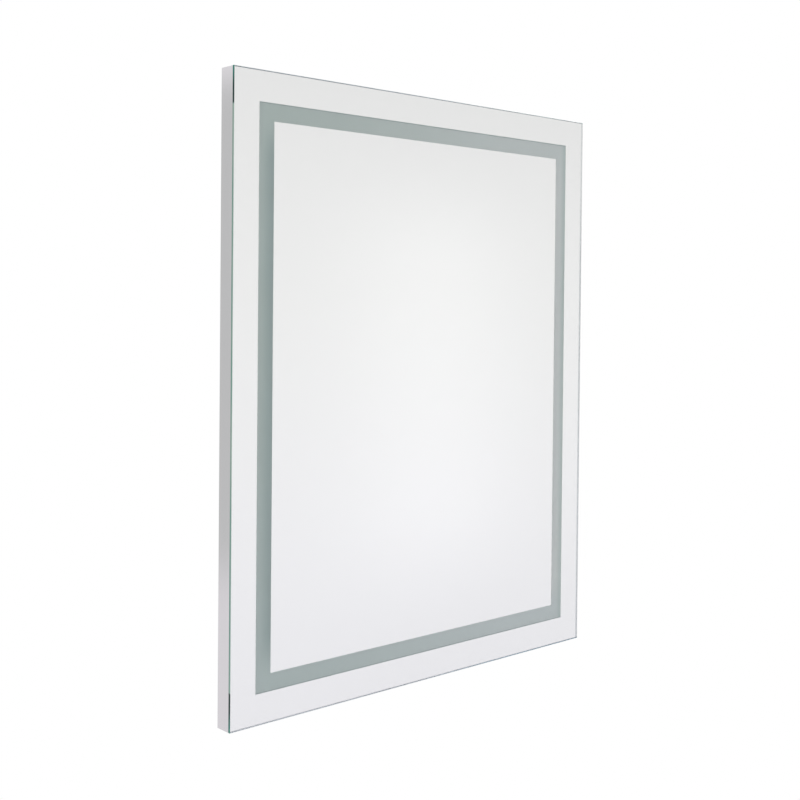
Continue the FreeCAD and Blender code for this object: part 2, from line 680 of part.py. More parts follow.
def earth_lead():
    """The earth braid: flat on the tray's floor under the nut, then stepped up into the terminal block."""
    low_y = TRAY_FLOOR_Y + EARTH_ACROSS / 2
    high_y = TRAY_FLOOR_Y + BLOCK_DEPTH / 2
    points = [
        Vector(EARTH_WAY_X, low_y, STUD_Z + NUT_ACROSS / 2),
        Vector(EARTH_WAY_X, low_y, BLOCK_TOP + BRAID_STEP_TOP),
        Vector(EARTH_WAY_X, high_y, BLOCK_TOP + BRAID_STEP_FOOT),
        Vector(EARTH_WAY_X, high_y, BLOCK_TOP),
    ]
    braid = lead(points, EARTH_ACROSS, EARTH_DEEP)
    hole = rod(EARTH_WAY_X, STUD_Z, STUD_R + HOLE_FIT, low_y - EARTH_ACROSS, low_y + EARTH_ACROSS)
    return braid.cut(hole).Solids[0]


add("terminal_box", terminal_tray())
add("terminal_cover", terminal_cover())
add("cover_screws", *[cover_screw(x) for x in COVER_SCREWS])
add("cable_grommet", cable_grommet())
add("terminal_block", terminal_block())
add("earth_stud", rod(EARTH_WAY_X, STUD_Z, STUD_R, TRAY_FLOOR_Y, TRAY_FLOOR_Y + STUD))
add("earth_nut", earth_nut())
add("earth_lead", earth_lead())
add(
    "lead_bushes",
    bush(TRAY_RIGHT, LEAD_Z, SUPPLY_ACROSS, SUPPLY_DEEP),
    bush(REFLECTOR_LEFT, FEED_Z, OUTPUT_ACROSS, OUTPUT_DEEP),
)


# ---------------------------------------------------------------- driver, leads and clips
def driver_length_of(x0, x1):
    """A stretch of the driver's outline, taped off the panel, between two places along X."""
    half = DRIVER_HEIGHT / 2
    return block(x0, x1, DRIVER_BACK_Y - DRIVER_DEPTH, DRIVER_BACK_Y, LEAD_Z - half, LEAD_Z + half)


def driver_case():
    """The driver's sealed case, an extrusion with rounded long edges."""
    case = driver_length_of(DRIVER_X, DRIVER_END_X)
    long_edges = [e for e in case.Edges if e.BoundBox.XLength > DRIVER_LENGTH / 2]
    return case.makeFillet(DRIVER_ROUND, long_edges).Solids[0]


def driver_cap(x0):
    """An end cap with bevelled corners, one cap's length from x0."""
    cap = driver_length_of(x0, x0 + CAP)
    corners = [e for e in cap.Edges if e.BoundBox.XLength > CAP / 2]
    return cap.makeChamfer(CAP_BEVEL, corners).Solids[0]


def driver_tape(x0):
    """A pad of foam tape between the driver and the panel."""
    half = DRIVER_HEIGHT / 2 - DRIVER_TAPE_INSET
    return block(x0, x0 + DRIVER_TAPE_LENGTH, DRIVER_BACK_Y, PANEL_FRONT_Y, LEAD_Z - half, LEAD_Z + half)


def supply_lead():
    """The mains lead from the terminal block through the tray's wall to the driver."""
    way_x = BLOCK_X + BLOCK_WAY_PITCH / 2
    points = [
        Vector(way_x, STRIP_Y, BLOCK_TOP),
        Vector(way_x, STRIP_Y, LEAD_Z),
        Vector(DRIVER_X - CAP, STRIP_Y, LEAD_Z),
    ]
    return lead(points, SUPPLY_ACROSS, SUPPLY_DEEP)


def output_lead():
    """The low-voltage lead from the driver, down beside the reflector and through it to the right strip."""
    points = [
        Vector(DRIVER_END_X + CAP, STRIP_Y, LEAD_Z),
        Vector(OUTPUT_X, STRIP_Y, LEAD_Z),
        Vector(OUTPUT_X, STRIP_Y, FEED_Z),
        Vector(WIDTH / 2 - STRIP_FACE, STRIP_Y, FEED_Z),
    ]
    return lead(points, OUTPUT_ACROSS, OUTPUT_DEEP)


def cable_clip(z):
    """A stick-on clip over the upright run of the output lead: a foot each side and a bridge between."""
    inner = OUTPUT_ACROSS / 2 + LEAD_FIT
    crest = STRIP_Y - OUTPUT_DEEP / 2 - LEAD_FIT
    hat = [
        (-inner - CLIP_WALL - CLIP_FOOT, PANEL_FRONT_Y),
        (-inner - CLIP_WALL - CLIP_FOOT, PANEL_FRONT_Y - CLIP_WALL),
        (-inner - CLIP_WALL, PANEL_FRONT_Y - CLIP_WALL),
        (-inner - CLIP_WALL, crest - CLIP_WALL),
        (inner + CLIP_WALL, crest - CLIP_WALL),
        (inner + CLIP_WALL, PANEL_FRONT_Y - CLIP_WALL),
        (inner + CLIP_WALL + CLIP_FOOT, PANEL_FRONT_Y - CLIP_WALL),
        (inner + CLIP_WALL + CLIP_FOOT, PANEL_FRONT_Y),
        (inner, PANEL_FRONT_Y),
        (inner, crest),
        (-inner, crest),
        (-inner, PANEL_FRONT_Y),
    ]
    low = z - CLIP_WIDTH / 2
    return prism([Vector(OUTPUT_X + x, y, low) for x, y in hat], Vector(0, 0, CLIP_WIDTH))


add("led_driver", driver_case())
add("driver_end_caps", driver_cap(DRIVER_X - CAP), driver_cap(DRIVER_END_X))
add(
    "driver_tape",
    driver_tape(DRIVER_X + DRIVER_TAPE_INSET),
    driver_tape(DRIVER_END_X - DRIVER_TAPE_INSET - DRIVER_TAPE_LENGTH),
)
add("supply_lead", supply_lead())
add("output_lead", output_lead())
add("cable_clips", *[cable_clip(LEAD_Z - drop) for drop in CLIP_DROPS])


# ---------------------------------------------------------------- back panel and what is fixed through it
def frustum(x0, x1, z0, z1, foot_y):
    """A swage's swelling: a rectangle at foot_y that has drawn in on all sides at its flat top."""

    def ring(inset, y):
        corners = [(x0 + inset, z0 + inset), (x1 - inset, z0 + inset), (x1 - inset, z1 - inset)]
        points = [Vector(x, y, z) for x, z in corners + [(x0 + inset, z1 - inset)]]
        return Part.makePolygon(points + points[:1])

    return Part.makeLoft([ring(0, foot_y), ring(SWAGE_SLOPE, foot_y + SWAGE_DEPTH)], True, True)


def swages():
    """The outlines of the panel's pressed stiffening swages: two upright and two level."""
    half = SWAGE_WIDTH / 2
    upright = [
        (sign * SWAGE_X - half, sign * SWAGE_X + half, BOTTOM_Z + SWAGE_FOOT, SWAGE_TOP) for sign in (-1, 1)
    ]
    reach = CROSS_SWAGE_LENGTH / 2
    level = [
        (-reach, reach, z - half, z + half) for z in (TOP_Z - CROSS_SWAGE_INSET, BOTTOM_Z + CROSS_SWAGE_INSET)
    ]
    return upright + level


def back_panel():
    """The sheet back: pressed swages, vents, the terminal opening and all its fixing holes."""
    plate = slab(CASING_WALL + PANEL_FIT, PANEL_FRONT_Y, PANEL_BACK_Y)
    for x0, x1, z0, z1 in swages():
        plate = plate.fuse(frustum(x0, x1, z0, z1, PANEL_BACK_Y))
    for x0, x1, z0, z1 in swages():
        plate = plate.cut(frustum(x0, x1, z0, z1, PANEL_FRONT_Y))
    before = PANEL_FRONT_Y - 1
    behind = PANEL_BACK_Y + 1
    tools = [tray_box(TRAY_LEDGE, before, behind)]
    half = VENT_WIDTH / 2
    for sign in (-1, 1):
        for n in range(VENTS):
            x = sign * (DRIVER_X + DRIVER_LENGTH / 2) + (n - (VENTS - 1) / 2) * VENT_PITCH
            tools.append(block(x - half, x + half, before, behind, VENT_TOP - VENT_LENGTH, VENT_TOP))
    tools += [rod(x, HANGER_Z, RIVET_R + HOLE_FIT, before, behind) for x in HANGER_RIVET_X]
    for side, along in screw_places():
        centre = on_side(side, along, SCREW_INSET, 0)
        tools.append(rod(centre.x, centre.z, SCREW_R + HOLE_FIT, before, behind))
    return plate.cut(tools).removeSplitter().Solids[0]


def panel_screw(side, along):
    """One of the screws that hold the panel to the casing's screw channel."""
    centre = on_side(side, along, SCREW_INSET, 0)
    return headed(centre.x, centre.z, PANEL_BACK_Y, SCREW_R, SCREW_HEAD_R, SCREW_HEAD, SCREW_LENGTH)


def bumper(x):
    """A stick-on rubber bumper that keeps the mirror's foot parallel to the wall."""
    return rod(x, BOTTOM_Z + BUMPER_RISE, BUMPER_R, PANEL_BACK_Y, 0)


def foam_spacer(x, z):
    """A foam block that steadies the panel against the pane."""
    half = PAD_SIZE / 2
    return block(x - half, x + half, COATING_BACK_Y, PANEL_FRONT_Y, z - half, z + half)


add("back_panel", back_panel())
add("panel_screws", *[panel_screw(side, along) for side, along in screw_places()])
add("bumpers", *[bumper(sign * BUMPER_X) for sign in (-1, 1)])
add("foam_spacers", *[foam_spacer(sign * PAD_X, TOP_Z - drop) for sign in (-1, 1) for drop in PAD_DROPS])

# ---------------------------------------------------------------- one file for each sub-part
os.makedirs("parts", exist_ok=True)
for name, solids in nodes.items():
    shape = solids[0] if len(solids) == 1 else Part.makeCompound(solids)
    shape.exportStep(f"parts/{name}.step")
    if not shape.isValid() or min(solid.Volume for solid in shape.Solids) <= 0:
        print(f"{name} is not a sound solid")
print(f"{len(nodes)} sub-parts")
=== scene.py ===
import json
import math

import bmesh
import bpy
from mathutils import Matrix, Vector


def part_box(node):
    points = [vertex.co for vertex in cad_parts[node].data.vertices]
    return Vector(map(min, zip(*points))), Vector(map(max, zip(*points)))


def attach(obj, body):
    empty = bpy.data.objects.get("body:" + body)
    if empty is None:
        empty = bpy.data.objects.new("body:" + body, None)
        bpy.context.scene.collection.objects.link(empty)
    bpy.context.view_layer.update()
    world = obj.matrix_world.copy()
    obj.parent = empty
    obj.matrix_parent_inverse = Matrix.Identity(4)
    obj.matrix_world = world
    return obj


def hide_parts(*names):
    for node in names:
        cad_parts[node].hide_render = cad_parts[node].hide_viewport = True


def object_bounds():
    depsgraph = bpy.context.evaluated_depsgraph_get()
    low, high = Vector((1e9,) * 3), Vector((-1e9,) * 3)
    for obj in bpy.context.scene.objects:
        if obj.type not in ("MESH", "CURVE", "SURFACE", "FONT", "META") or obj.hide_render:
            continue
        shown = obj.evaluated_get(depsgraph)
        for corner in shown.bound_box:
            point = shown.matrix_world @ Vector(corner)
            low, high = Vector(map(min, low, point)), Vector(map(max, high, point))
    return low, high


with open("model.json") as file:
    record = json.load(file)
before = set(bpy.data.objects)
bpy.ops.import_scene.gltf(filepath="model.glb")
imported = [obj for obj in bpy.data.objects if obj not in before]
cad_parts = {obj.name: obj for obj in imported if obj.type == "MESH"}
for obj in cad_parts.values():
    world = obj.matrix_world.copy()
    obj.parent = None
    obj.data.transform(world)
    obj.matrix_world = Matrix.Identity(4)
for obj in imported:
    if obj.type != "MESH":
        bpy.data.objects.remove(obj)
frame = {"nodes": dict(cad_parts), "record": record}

cad_box = [list(corner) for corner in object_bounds()]

# ---------------------------------------------------------------- sizes, in metres
MM = 0.001
BAND = 28 * MM  # width of the frosted band
ETCH = 0.1 * MM  # depth of the etched recess in the pane's back
SUNK = 0.03 * MM  # how far a film in the glass lies below its surface
EDGE_FILM = 0.6 * MM  # how far in from the edge the ground edge shows
DEEP_SHADE_REACH = 58 * MM  # how far from each corner the ground edge has its painted dark reflection
EDGE_LIFT = 2 * MM  # how much higher the painted dark lengths lie than even
ARRIS = 0.5 * MM  # ground bevel of the pane
DRAWN_IN = 0.3 * MM  # how far the clear glass stops short of its ground edge
SCREW_INSET = 8 * MM  # of the panel's screws from the pane's edges
SCREW_CORNER = 75 * MM  # from a corner to the first of them
PANEL_SCREW = (3.8 * MM, 2.2 * MM, 2.0 * MM)  # radius and height of the head, radius of the shank
PANEL_SCREW_LENGTH = 8 * MM
COVER_SCREW = (2.9 * MM, 1.8 * MM, 1.5 * MM)
RIVET = (4.0 * MM, 1.2 * MM, 2.0 * MM)
GROMMET_BORE = 4.5 * MM  # radius
GROMMET_GROOVE = 2.0 * MM  # depth
GROMMET_ROUND = 0.5 * MM  # on its flanges
CHIP_FACE = 17.0 * MM  # from the pane's outline in to the chips' front faces
FLOOR_RADIUS = 1.5
FLOOR_DROP = 1.10  # from the mirror's foot down to the floor, as such a mirror hangs

# ---------------------------------------------------------------- the camera
CAMERA_PLACE = (-1.43525, -1.54204, -0.18439)
CAMERA_BEARING = -42.190  # degrees from straight at the wall, to its right
CAMERA_TIP = -0.931  # degrees down from level
CAMERA_ROLL = -0.517
LENS = 54.605  # millimetres
SENSOR = 36.0
SHIFT_Y = -0.0945

# ---------------------------------------------------------------- the light round the mirror
BACKDROP = 1.0  # what the camera sees round the object
FRONT_FLOOR = 0.75  # what the pane reflects far above and below the level belt of light
BELT = 0.16  # added in the middle of the belt
BELT_RISE = -0.142  # these are across and up on a plane one unit in front of the pane
BELT_HEIGHT = 0.492
GLOW = 0.0753  # added in the middle of the glow
GLOW_ACROSS = 0.963
GLOW_WIDTH = 0.152
GLOW_TOP = (0.204, 0.040)  # from none to full
GLOW_FOOT = (-0.394, -0.211)
BEHIND_ABOVE = 0.94  # behind the mirror's plane, above the level band
BEHIND_BELOW = 0.85
BEHIND_BAND = 0.645
BEHIND_TOP = (0.190, 0.168)  # sines of the elevation between which the level band begins
BEHIND_FOOT = (-0.242, -0.184)

# ---------------------------------------------------------------- colours of the frosted band, with its painted light and shade
# painted shade on the band's left, painted light on its right
FROST_LEFT_SHADE = (0.735, 0.845, 0.808, 1)
FROST_RIGHT_LIT = (0.90, 0.965, 0.955, 1)
# painted cool light towards the band's foot
FROST_FOOT_COOL_LIGHT = (0.78, 0.88, 0.93, 1)
# painted shade down the inside of the left run
FROST_LEFT_INSIDE_SHADE = (0.50, 0.625, 0.615, 1)
# painted light down the right run
FROST_RIGHT_RUN_LIGHT = (0.95, 0.998, 0.99, 1)
# painted shade on the outer part of the right run
FROST_RIGHT_OUTSIDE_SHADE = (0.69, 0.82, 0.79, 1)
# painted shade along the band's outline
FROST_OUTLINE_SHADE = (0.52, 0.62, 0.615, 1)
FROST_GRAIN = (0.9, 0.93, 0.92, 1)

# ---------------------------------------------------------------- colours of the ground edge, with its painted dark reflections, highlight and inner reflections
GREEN_DARK = (0.18, 0.35, 0.285, 1)
GREEN_LIGHT = (0.26, 0.40, 0.33, 1)
# painted dark reflection on the edge near the corners
GREEN_CORNER_SHADE = (0.045, 0.25, 0.195, 1)
GREEN_DEEP_SHADE = (0.0, 0.032, 0.026, 1)
# painted highlight on the front arris
ARRIS_HIGHLIGHT = (0.90, 0.92, 0.90, 1)
# painted reflections on the faces that look into the glass, above and below
HEAD_REFLECTION_DARK = (0.39, 0.51, 0.68, 1)
HEAD_REFLECTION_LIGHT = (0.48, 0.61, 0.79, 1)
HEAD_REFLECTION_RIGHT = (0.32, 0.49, 0.54, 1)
FOOT_REFLECTION_LEFT = (0.77, 0.84, 1.0, 1)
FOOT_REFLECTION_RIGHT = (0.46, 0.74, 1.0, 1)
# painted light on the inward side faces, brighter above and darker below
SIDE_REFLECTION_LIT = (0.88, 0.90, 0.91, 1)
SIDE_REFLECTION_SHADED = (0.68, 0.71, 0.73, 1)


# ---------------------------------------------------------------- shader trees
class Wire:
    """A socket of a shader tree; arithmetic on it adds the Math nodes."""

    def __init__(self, tree, socket):
        self.tree = tree
        self.socket = socket

    def maths(self, operation, *values):
        return self.tree.node("Math", {"operation": operation}, dict(enumerate(values)))

    def __add__(self, other):
        return self.maths("ADD", self, other)

    def __radd__(self, other):
        return self.maths("ADD", other, self)

    def __sub__(self, other):
        return self.maths("SUBTRACT", self, other)

    def __rsub__(self, other):
        return self.maths("SUBTRACT", other, self)

    def __mul__(self, other):
        return self.maths("MULTIPLY", self, other)

    def __rmul__(self, other):
        return self.maths("MULTIPLY", other, self)

    def __truediv__(self, other):
        return self.maths("DIVIDE", self, other)

    def __abs__(self):
        return self.maths("ABSOLUTE", self)

    def ramp(self, low, high):
        """0 below low, 1 above high and smooth between them; low may be the larger."""
        settings = {"interpolation_type": "SMOOTHSTEP"}
        return self.tree.node("MapRange", settings, {"Value": self, "From Min": low, "From Max": high})


class Tree:
    """The node tree of a material or of the world."""

    def __init__(self, owner):
        owner.use_nodes = True
        self.owner = owner
        self.nodes = owner.node_tree.nodes
        self.links = owner.node_tree.links
        self.nodes.clear()

    def node(self, kind, settings, sockets, out=0):
        """Adds a node with its settings and its sockets' values or links, and gives one of its outputs."""
        made = self.nodes.new("ShaderNode" + kind)
        for name, value in settings.items():
            setattr(made, name, value)
        for key, value in sockets.items():
            if isinstance(value, Wire):
                self.links.new(value.socket, made.inputs[key])
            else:
                made.inputs[key].default_value = value
        return Wire(self, made.outputs[out]) if made.outputs else None

    def parts(self, vector):
        """The X, Y and Z of a vector."""
        return [self.node("SeparateXYZ", {}, {0: vector}, axis) for axis in "XYZ"]

    def place(self):
        """The X, Y and Z of a point, in metres."""
        return self.parts(self.node("TexCoord", {}, {}, "Object"))

    def facing(self):
        """The X, Y and Z of the way that the surface faces."""
        return self.parts(self.node("TexCoord", {}, {}, "Normal"))

    def noise(self, scale, detail=2.0, stretch=(1, 1, 1)):
        """Noise whose grains are about 1 / scale metres, longer where stretch is small."""
        at = self.node("TexCoord", {}, {}, "Object")
        at = self.node("Mapping", {}, {"Vector": at, "Scale": stretch})
        return self.node("TexNoise", {}, {"Vector": at, "Scale": scale, "Detail": detail})

    def blend(self, share, first, second):
        """A colour between first and second."""
        return self.node("Mix", {"data_type": "RGBA"}, {0: share, 6: first, 7: second}, 2)

    def shade(self, colour, least, most, share):
        """A colour made darker or lighter, from least to most times its brightness."""
        dark = tuple(c * least for c in colour) + (1,)
        light = tuple(min(c * most, 1) for c in colour) + (1,)
        return self.blend(share, dark, light)

    def least(self, first, second):
        return first.maths("MINIMUM", first, second)

    def bump(self, height, distance):
        return self.node("Bump", {}, {"Height": height, "Distance": distance})

    def surface(self, **sockets):
        """The Principled shader and the output; a socket's name has _ for each space."""
        values = {name.replace("_", " "): value for name, value in sockets.items()}
        shader = self.node("BsdfPrincipled", {}, values)
        self.node("OutputMaterial", {}, {"Surface": shader})
        return self.owner


def material(name):
    return Tree(bpy.data.materials.new(name))


# ---------------------------------------------------------------- finishes
def satin_aluminium(name, grain):
    """Anodised aluminium, with a faint grain drawn out along the extrusion."""
    m = material(name)
    streaks = m.noise(900, 3, grain)
    cloud = m.noise(40, 2)
    colour = m.shade((0.76, 0.76, 0.77), 0.97, 1.03, streaks * 0.6 + cloud * 0.4)
    rough = 0.075 + streaks * 0.035 + cloud * 0.02
    return m.surface(Base_Color=colour, Metallic=1.0, Roughness=rough, Normal=m.bump(streaks, 0.002 * MM))


def mill_aluminium():
    """Plain extruded aluminium with die lines along X."""
    m = material("mill_aluminium")
    lines = m.noise(1400, 3, (0.01, 1, 1))
    cloud = m.noise(30, 3)
    colour = m.shade((0.66, 0.67, 0.68), 0.92, 1.06, lines * 0.5 + cloud * 0.5)
    rough = 0.26 + lines * 0.12 + cloud * 0.08
    return m.surface(Base_Color=colour, Metallic=1.0, Roughness=rough, Normal=m.bump(lines, 0.01 * MM))


def cast_alloy():
    m = material("cast_alloy")
    grit = m.noise(1800, 4)
    return m.surface(
        Base_Color=m.shade((0.62, 0.62, 0.63), 0.85, 1.08, grit),
        Metallic=1.0,
        Roughness=0.38 + grit * 0.2,
        Normal=m.bump(grit, 0.04 * MM),
    )


def zinc_plate():
    """Bright zinc with the faint blue and straw clouds of its passivation."""
    m = material("zinc_plate")
    cloud = m.noise(160, 3)
    fine = m.noise(2500, 2)
    colour = m.blend(cloud.ramp(0.35, 0.65), (0.56, 0.60, 0.66, 1), (0.68, 0.66, 0.58, 1))
    rough = 0.24 + fine * 0.14
    return m.surface(Base_Color=colour, Metallic=1.0, Roughness=rough, Normal=m.bump(fine, 0.006 * MM))


def tinned_braid():
    m = material("tinned_braid")
    _, _, z = m.place()
    plait = abs(z.maths("SINE", z * 1400))
    return m.surface(
        Base_Color=m.shade((0.72, 0.71, 0.68), 0.6, 1.1, plait),
        Metallic=1.0,
        Roughness=0.35 + plait * 0.1,
        Normal=m.bump(plait, 0.15 * MM),
    )


def powder_coat(name, colour):
    """Fine textured powder coat, a little glossier on its crests."""
    m = material(name)
    peel = m.noise(900, 3)
    cloud = m.noise(9, 3)
    return m.surface(
        Base_Color=m.shade(colour, 0.94, 1.05, peel * 0.5 + cloud * 0.5),
        Roughness=0.36 + peel * 0.2,
        Normal=m.bump(peel, 0.07 * MM),
    )


def moulded(name, colour, rough=0.42):
    """Moulded plastic with a fine spark-eroded texture."""
    m = material(name)
    fine = m.noise(1600, 2)
    cloud = m.noise(60, 2)
    return m.surface(
        Base_Color=m.shade(colour, 0.95, 1.04, fine * 0.4 + cloud * 0.6),
        Roughness=rough + fine * 0.12,
        Normal=m.bump(fine, 0.02 * MM),
    )


def rubber():
    m = material("black_rubber")
    dust = m.noise(1100, 4)
    fine = m.noise(2200, 2)
    return m.surface(
        Base_Color=m.blend(dust.ramp(0.35, 0.75), (0.026, 0.026, 0.028, 1), (0.046, 0.046, 0.047, 1)),
        Roughness=0.40 + fine * 0.16,
        Normal=m.bump(fine, 0.02 * MM),
    )


def foam(name, colour):
    """Closed-cell foam: small round cells, cut open at the faces."""
    m = material(name)
    at = m.node("TexCoord", {}, {}, "Object")
    cell = m.node("TexVoronoi", {}, {"Vector": at, "Scale": 900.0}, "Distance")
    return m.surface(
        Base_Color=m.shade(colour, 0.75, 1.08, cell.ramp(0.1, 0.6)),
        Roughness=0.85,
        Normal=m.bump(cell, 0.2 * MM),
    )


def strip_board():
    """White solder mask, with the chips' yellow windows on the faces that stand proud of it."""
    m = material("strip_board")
    x, _, z = m.place()
    fine = m.noise(2000, 2)
    low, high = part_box("mirror_glass")
    inset = m.least(high.x - abs(x), (high.z - low.z) / 2 - abs(z - (low.z + high.z) / 2))
    proud = inset.ramp(CHIP_FACE - 0.1 * MM, CHIP_FACE + 0.1 * MM)
    colour = m.blend(proud, (0.86, 0.86, 0.82, 1), (0.88, 0.66, 0.12, 1))
    return m.surface(Base_Color=colour, Roughness=0.3 + fine * 0.1, Normal=m.bump(fine, 0.01 * MM))


def clear_glass():
    """The pane's own glass."""
    m = material("clear_glass")
    return m.surface(Base_Color=(0.985, 0.995, 0.990, 1), Roughness=0.0, IOR=1.52, Transmission_Weight=1.0)


def silver():
    """Silvering seen through the pane, with its grey backing paint behind."""
    m = material("silver")
    _, turn_y, _ = m.facing()
    back = turn_y.ramp(0.4, 0.6)
    peel = m.noise(700, 3)
    cloud = m.noise(3, 2)
    bright = m.shade((0.965, 0.95, 0.955), 0.995, 1.005, cloud)
    paint = m.shade((0.30, 0.31, 0.33), 0.92, 1.06, peel)
    return m.surface(Base_Color=m.blend(back, bright, paint), Metallic=1 - back, Roughness=back * 0.5)


def frosted_glass(inner_low, inner_high):
    """The etched band, a soft grey-green, with light and shade painted in: painted shade on its left, along
    its outline, towards the inside of its left run and on the outer part of its right run; painted light on
    its right and down its right run; a painted cool light towards its foot."""
    m = material("frosted_glass")
    x, _, z = m.place()
    grain = m.noise(2600, 3)
    cloud = m.noise(14, 2)
    # painted shade on the left, painted light on the right
    colour = m.blend(x.ramp(-0.40, 0.30), FROST_LEFT_SHADE, FROST_RIGHT_LIT)
    # painted cool light towards the foot
    colour = m.blend(z.ramp(-0.2, -0.8) * 0.3, colour, FROST_FOOT_COOL_LIGHT)
    middle = abs(z - (inner_low.z + inner_high.z) / 2).ramp(0.44, 0.36)
    # painted shade down the inside of the left run, at mid heights
    left = x.ramp(inner_low.x - BAND, inner_low.x) * x.ramp(inner_low.x + SUNK, inner_low.x)
    colour = m.blend(left * middle * 0.9, colour, FROST_LEFT_INSIDE_SHADE)
    # painted light down the right run, at mid heights
    right_run = x.ramp(inner_high.x - SUNK, inner_high.x)
    colour = m.blend(right_run * middle, colour, FROST_RIGHT_RUN_LIGHT)
    # painted shade on the outer part of the right run
    right = x.ramp(inner_high.x + BAND * 0.4, inner_high.x + BAND)
    colour = m.blend(right * 0.7, colour, FROST_RIGHT_OUTSIDE_SHADE)
    # painted shade along the outline
    outer = m.least(inner_high.z + BAND - z, z - (inner_low.z - BAND))
    colour = m.blend(outer.ramp(2.6 * MM, 0.8 * MM) * 0.9, colour, FROST_OUTLINE_SHADE)
    colour = m.blend((grain * 0.5 + cloud * 0.5).ramp(0.3, 0.7) * 0.05, colour, FROST_GRAIN)
    return m.surface(Base_Color=colour, Roughness=0.65, Normal=m.bump(grain, 0.01 * MM))


def ground_edge(low, high):
    """The pane's ground edge: green outside, and deep green by the corners, a painted dark reflection where
    it looks past the frosted band. Its front arris has a painted highlight. Of the faces that look into the
    glass, those at the sides reflect it, with painted light brighter above and darker below, and those above
    and below are a painted grey-blue reflection."""
    m = material("ground_edge")
    x, _, z = m.place()
    turn_x, turn_y, turn_z = m.facing()
    fine = m.noise(1500, 3)
    wave = m.noise(7.0, 1)
    rise = z - (low.z + high.z) / 2
    out_x, out_z = turn_x * x.maths("SIGN", x), turn_z * rise.maths("SIGN", rise)
    outward = out_x.maths("MAXIMUM", out_x, out_z).ramp(0.4, 0.6)
    on_side = m.least(x - low.x, high.x - x).ramp(1.5 * MM, 0.7 * MM)

    from_end_z = m.least(high.z - z + EDGE_LIFT, z - low.z - EDGE_LIFT)
    from_end_x = m.least(high.x - x, x - low.x)
    corner = from_end_x + on_side * (from_end_z - from_end_x)
    # painted dark reflection near each corner, teal at the corner and near black further in
    near_corner_shade = corner.ramp(DEEP_SHADE_REACH + 0.5 * MM, DEEP_SHADE_REACH - 0.5 * MM)
    light = m.blend(wave.ramp(0.35, 0.65), GREEN_DARK, GREEN_LIGHT)
    deep = m.blend(corner.ramp(0, DEEP_SHADE_REACH * 0.6), GREEN_CORNER_SHADE, GREEN_DEEP_SHADE)
    green = m.blend(near_corner_shade, light, deep)

    foot = rise.ramp(0, -0.3)
    right_half = x.ramp(-0.05, 0.25)
    # painted grey-blue reflection on the faces above and below that look into the glass
    level = m.blend(wave.ramp(0.3, 0.7), HEAD_REFLECTION_DARK, HEAD_REFLECTION_LIGHT)
    level = m.blend(right_half * 0.7, level, HEAD_REFLECTION_RIGHT)
    level = m.blend(foot, level, m.blend(right_half, FOOT_REFLECTION_LEFT, FOOT_REFLECTION_RIGHT))
    # painted light on the side faces, brighter above and darker below
    upright = m.blend(rise.ramp(0.45, 0.2), SIDE_REFLECTION_LIT, SIDE_REFLECTION_SHADED)
    inside = m.blend(on_side, level, upright)

    # painted highlight along the front arris, weaker on the painted dark lengths at the sides
    arris = outward * turn_y.ramp(-0.4, -0.6) * (0.5 - near_corner_shade * on_side * 0.35)
    colour = m.blend(arris, m.blend(outward, inside, green), ARRIS_HIGHLIGHT)
    mirrored = (1 - outward) * (on_side + (1 - on_side) * foot * 0.5) + arris
    rough = (0.35 + fine * 0.1) * (1 - mirrored * 0.6)
    return m.surface(Base_Color=colour, Metallic=mirrored, Roughness=rough, Specular_IOR_Level=0.12)


def floor_finish():
    """Pale floor that fades out towards its rim."""
    m = material("pale_floor")
    x, y, _ = m.place()
    radius = (x * x + y * y).maths("SQRT", x * x + y * y)
    fine = m.noise(60, 3)
    pale = m.shade((0.86, 0.86, 0.85), 0.99, 1.01, fine)
    solid = m.node("BsdfPrincipled", {}, {"Base Color": pale, "Roughness": 0.6})
    clear = m.node("BsdfTransparent", {}, {})
    faded = radius.ramp(0.7, FLOOR_RADIUS - 0.05)
    mixed = m.node("MixShader", {}, {0: faded, 1: solid, 2: clear})
    m.node("OutputMaterial", {}, {"Surface": mixed})
    return m.owner


# ---------------------------------------------------------------- shapes used more than once
def solid_piece(name, bm, coat, node, *replaced, soft_angle=35):
    """Makes a piece of a bmesh. It rides with a CAD node, and may stand for CAD nodes."""
    bmesh.ops.recalc_face_normals(bm, faces=bm.faces)
    mesh = bpy.data.meshes.new(name)
    bm.to_mesh(mesh)
    bm.free()
    packed_normals = mesh.attributes.get("custom_normal")
    if packed_normals:
        mesh.attributes.remove(packed_normals)
    mesh.shade_smooth()
    mesh.set_sharp_from_angle(angle=math.radians(soft_angle))
    mesh.materials.append(coat)
    piece = bpy.data.objects.new(name, mesh)
    bpy.context.scene.collection.objects.link(piece)
    record = frame["record"]
    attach(piece, next(body for body, held in record["behaviour"]["bodies"].items() if node in held))
    if replaced:
        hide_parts(*replaced)
    return piece


def stand_in(name, bm, node, soft_angle=35):
    """Makes a piece that stands for a CAD node, in that node's own finish."""
    return solid_piece(name, bm, finish(node), node, node, soft_angle=soft_angle)


def rectangle_ring(low, high, width, y0, y1):
    """A flat rectangular ring, width wide inside low and high, from y0 to y1."""
    bm = bmesh.new()
    corners = [(low.x, low.z), (high.x, low.z), (high.x, high.z), (low.x, high.z)]
    face = bm.faces.new([bm.verts.new((x, y0, z)) for x, z in corners])
    bm.normal_update()
    bmesh.ops.inset_region(bm, faces=[face], thickness=width, use_boundary=True, use_even_offset=True)
    bmesh.ops.delete(bm, geom=[face], context="FACES")
    made = bmesh.ops.extrude_face_region(bm, geom=list(bm.faces))
    moved = [v for v in made["geom"] if isinstance(v, bmesh.types.BMVert)]
    bmesh.ops.translate(bm, verts=moved, vec=(0, y1 - y0, 0))
    return bm


def creases(bm, least=20, most=180):
    """The edges whose two faces meet at an angle between least and most degrees from flat."""
    return [e for e in bm.edges if e.is_manifold and least < math.degrees(e.calc_face_angle(0)) < most]


